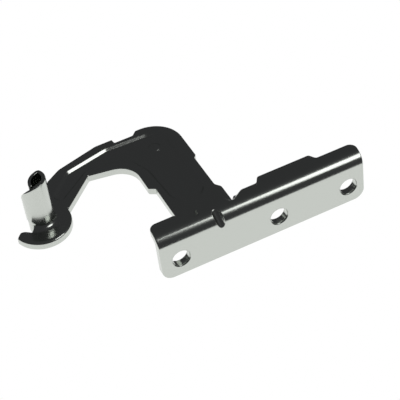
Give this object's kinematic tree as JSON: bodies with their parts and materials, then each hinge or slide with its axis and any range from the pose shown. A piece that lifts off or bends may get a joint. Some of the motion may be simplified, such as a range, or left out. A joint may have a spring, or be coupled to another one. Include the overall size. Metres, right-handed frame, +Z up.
{
  "type": "fridge door hinge",
  "caption": "Pressed steel goose-neck door hinge with a folded screw flange, a sunken stiffening panel and a hollow rolled pin.",
  "frame": {"origin": "on the flange's mounting face, midway between the two outer screw holes", "axes": "+X along the flange, from the pin side to the free end; -Y out of the mounting face, so the arm reaches back along +Y; +Z up, along the pin"},
  "size_m": [0.1172, 0.056, 0.0374],
  "materials": {
    "zinc_plate": "bright zinc plate on pressed steel sheet"
  },
  "bodies": {
    "root": {"bracket": "zinc_plate"}
  },
  "joints": []
}
